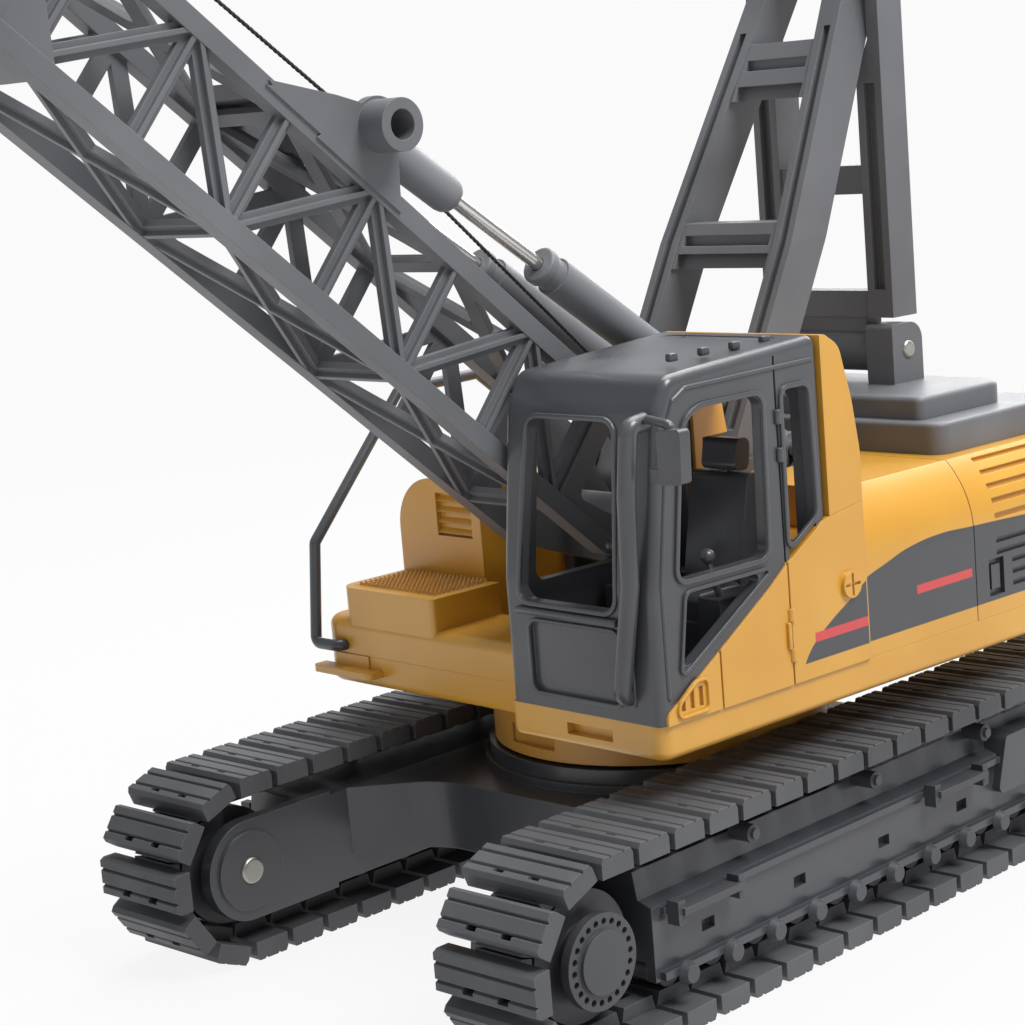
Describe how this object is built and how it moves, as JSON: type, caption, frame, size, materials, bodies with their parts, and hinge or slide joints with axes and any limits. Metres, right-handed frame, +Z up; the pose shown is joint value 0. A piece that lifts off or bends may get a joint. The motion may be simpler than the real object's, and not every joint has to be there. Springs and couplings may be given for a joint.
{
  "type": "toy lattice boom crawler crane",
  "caption": "Die-cast toy crawler crane: lattice boom on a swinging house, crawler tracks, luffing cylinders, gantry, hoist rope and hook.",
  "frame": {"origin": "on the house's swing axis, at the level the tracks stand on", "axes": "+Z up; -Y the way the boom points; +X towards the cab's side"},
  "size_m": [0.0716, 0.2867, 0.2253],
  "materials": {
    "yellow_body": "satin amber yellow enamel",
    "slew_yellow": "satin amber yellow moulding",
    "chassis_black": "satin black enamel",
    "track_black": "matte black flexible track",
    "wheel_black": "satin black moulding",
    "boom_grey": "matte charcoal moulding",
    "cab_black": "satin black moulding",
    "ram_grey": "matte charcoal moulding",
    "ram_rod": "bright rod with a charcoal end",
    "pin_steel": "plated steel",
    "sheave_grey": "matte charcoal moulding",
    "hook_metal": "satin dark enamel",
    "rope_black": "twisted black cord"
  },
  "bodies": {
    "undercarriage": {"carbody": "chassis_black", "slew_ring": "chassis_black", "pivot_screw": "pin_steel", "track_frame_left": "chassis_black", "track_frame_right": "chassis_black", "track_shoes_left": "track_black", "track_shoes_right": "track_black", "track_links_left": "track_black", "track_links_right": "track_black", "bottom_rollers": "wheel_black", "roller_caps": "wheel_black", "carrier_rollers": "wheel_black", "frame_steps": "wheel_black", "track_axles": "pin_steel"},
    "house": {"turntable_ring": "slew_yellow", "house_deck": "yellow_body", "right_deck": "yellow_body", "tread_plate": "yellow_body", "tank_box": "yellow_body", "side_panel_left": "yellow_body", "side_panel_right": "yellow_body", "engine_hood": "yellow_body", "counterweight": "yellow_body", "rear_cover": "boom_grey", "gantry_base": "boom_grey", "gantry_strut": "boom_grey", "gantry_mast": "boom_grey", "gantry_pins": "pin_steel", "foot_bracket": "cab_black", "bracket_pins": "pin_steel", "cab_shell": "cab_black", "cab_rear_frame": "yellow_body", "cab_side_panel": "yellow_body", "cab_base": "cab_black", "driver_seat": "cab_black", "control_levers": "cab_black", "mirror": "cab_black", "grab_bar": "cab_black", "handrail": "cab_black"},
    "wheel_left": {"drive_wheel_left": "wheel_black"},
    "wheel_right": {"drive_wheel_right": "wheel_black"},
    "idler_left": {"idler_wheel_left": "wheel_black"},
    "idler_right": {"idler_wheel_right": "wheel_black"},
    "gantry_sheaves": {"gantry_sheaves": "sheave_grey"},
    "winch": {"winch_drum": "sheave_grey", "winch_knob": "sheave_grey"},
    "boom": {"boom_base": "boom_grey", "boom_middle": "boom_grey", "boom_head": "boom_grey", "boom_pins": "pin_steel", "head_pin": "pin_steel", "hoist_rope": "rope_black"},
    "guide_roller": {"rope_roller": "sheave_grey"},
    "head_sheave": {"head_sheave": "sheave_grey"},
    "barrels": {"cylinder_barrels": "ram_grey"},
    "rods": {"cylinder_rods": "ram_rod"},
    "hook_line": {"fall_rope": "rope_black"},
    "hook_block": {"hook_block": "hook_metal"},
    "hook_sheave": {"hook_sheave": "sheave_grey"},
    "hook": {"hook": "hook_metal"}
  },
  "joints": [
    {"name": "swing", "type": "hinge", "parent": "undercarriage", "child": "house", "pos_m": [0, 0, 0.0235], "axis": [0, 0, 1], "continuous": true},
    {"name": "left_drive", "type": "hinge", "parent": "undercarriage", "child": "wheel_left", "pos_m": [0.02869, -0.04482, 0.01035], "axis": [0.9987, 0.0502, 0], "continuous": true},
    {"name": "left_idler", "type": "hinge", "parent": "undercarriage", "child": "idler_left", "pos_m": [0.02405, 0.04747, 0.01035], "axis": [0.9987, 0.0502, 0], "continuous": true},
    {"name": "right_drive", "type": "hinge", "parent": "undercarriage", "child": "wheel_right", "pos_m": [-0.02405, -0.04747, 0.01035], "axis": [0.9987, 0.0502, 0], "continuous": true},
    {"name": "right_idler", "type": "hinge", "parent": "undercarriage", "child": "idler_right", "pos_m": [-0.02869, 0.04482, 0.01035], "axis": [0.9987, 0.0502, 0], "continuous": true},
    {"name": "gantry_sheave_spin", "type": "hinge", "parent": "house", "child": "gantry_sheaves", "pos_m": [0, 0.03635, 0.1037], "axis": [1, 0, 0], "continuous": true},
    {"name": "boom_luff", "type": "hinge", "parent": "house", "child": "boom", "pos_m": [0, 0.0005, 0.03885], "axis": [-1, 0, 0], "range_deg": [-27, 28], "deforming": ["hoist_rope"]},
    {"name": "cylinder_tilt", "type": "hinge", "parent": "house", "child": "barrels", "pos_m": [0, 0.0183, 0.0476], "axis": [-1, 0, 0], "range_deg": [-24, 25]},
    {"name": "rod_slide", "type": "slide", "parent": "barrels", "child": "rods", "axis": [0, 0.8201, -0.5722], "range_m": [-0.0084, 0.0082]},
    {"name": "winch_turn", "type": "hinge", "parent": "house", "child": "winch", "pos_m": [0, 0.0134, 0.0386], "axis": [-1, 0, 0], "range_deg": [0, 562]},
    {"name": "guide_roller_turn", "type": "hinge", "parent": "boom", "child": "guide_roller", "pos_m": [0, -0.04096, 0.08894], "axis": [-1, 0, 0], "range_deg": [0, 687]},
    {"name": "head_sheave_turn", "type": "hinge", "parent": "boom", "child": "head_sheave", "pos_m": [0, -0.21095, 0.22068], "axis": [-1, 0, 0], "range_deg": [0, 471]},
    {"name": "line_swing", "type": "hinge", "parent": "boom", "child": "hook_line", "pos_m": [0, -0.21095, 0.22068], "axis": [-1, 0, 0], "range_deg": [-28.5, 27.5]},
    {"name": "hook_lift", "type": "slide", "parent": "hook_line", "child": "hook_block", "axis": [0, 0, 1], "range_m": [0, 0.0353], "deforming": ["fall_rope"]},
    {"name": "hook_sheave_spin", "type": "hinge", "parent": "hook_block", "child": "hook_sheave", "pos_m": [0, -0.21522, 0.17008], "axis": [1, 0, 0], "continuous": true},
    {"name": "hook_swivel", "type": "hinge", "parent": "hook_block", "child": "hook", "pos_m": [0, -0.21522, 0.16588], "axis": [0, 0, 1], "continuous": true}
  ],
  "couplings": [
    {"joint": "left_idler", "follows": "left_drive", "ratio": 1},
    {"joint": "right_idler", "follows": "right_drive", "ratio": 1},
    {"joint": "cylinder_tilt", "follows": "boom_luff", "ratio": 0.88},
    {"joint": "rod_slide", "follows": "boom_luff", "m_per_rad": 0.0167},
    {"joint": "line_swing", "follows": "boom_luff", "ratio": -1},
    {"joint": "winch_turn", "follows": "hook_lift", "rad_per_m": 277.78},
    {"joint": "guide_roller_turn", "follows": "hook_lift", "rad_per_m": 338.89},
    {"joint": "head_sheave_turn", "follows": "hook_lift", "rad_per_m": 232.22}
  ]
}
